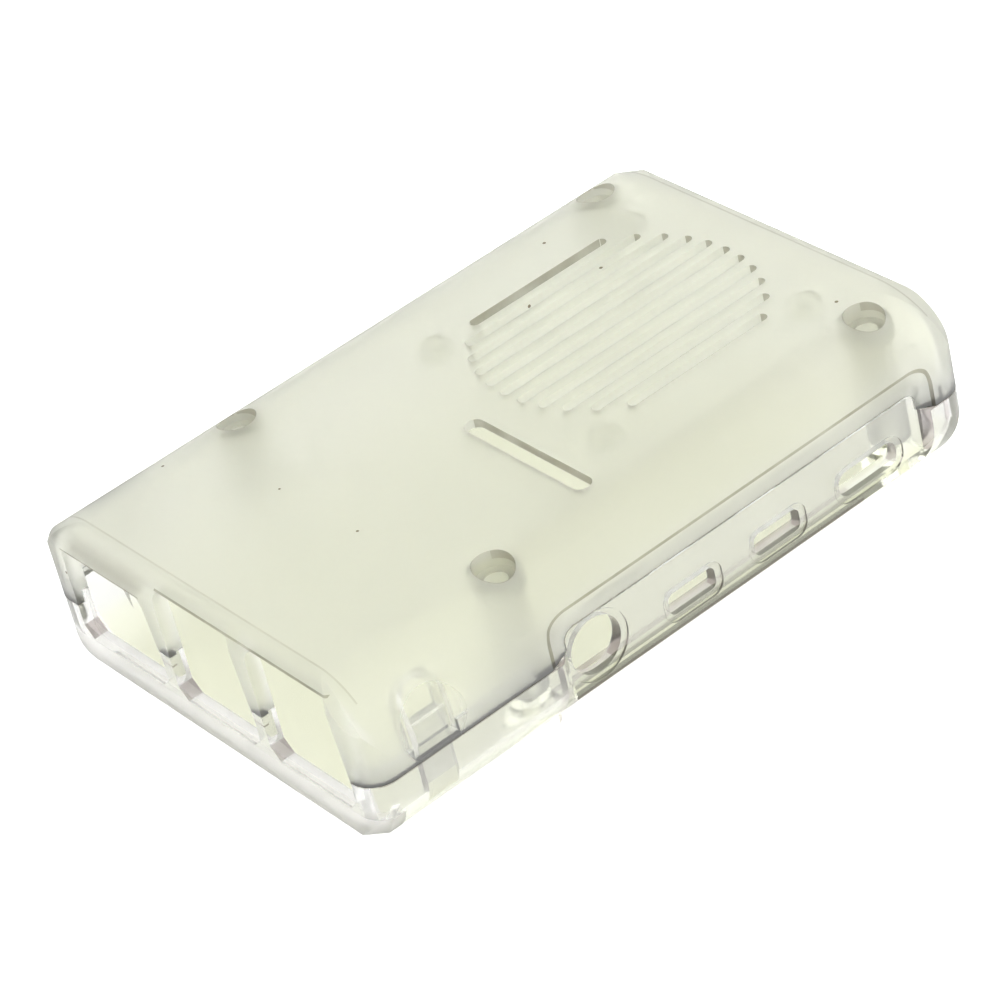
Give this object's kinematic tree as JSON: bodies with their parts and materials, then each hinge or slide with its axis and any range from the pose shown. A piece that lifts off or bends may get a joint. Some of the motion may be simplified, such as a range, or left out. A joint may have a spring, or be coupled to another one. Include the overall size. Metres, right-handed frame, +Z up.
{
  "type": "single board computer case",
  "caption": "Clear two-shell moulded case for an 85 x 56 mm single board computer, with a fan grille, a ribbon slot, screw posts and socket openings.",
  "frame": {"origin": "centre of the case's footprint, on the surface that its four feet stand on", "axes": "+Z up; +X towards the power socket's end, with the three tall socket openings at -X; -Y towards the panel with the small sockets"},
  "size_m": [0.0926, 0.0632, 0.0231],
  "materials": {
    "upper_plastic": "clear moulded plastic, lightly frosted, faint green-yellow tint",
    "lower_plastic": "clear moulded plastic, glossy, faint green-yellow tint"
  },
  "bodies": {
    "root": {"upper_shell": "upper_plastic", "lower_shell": "lower_plastic"}
  },
  "joints": []
}
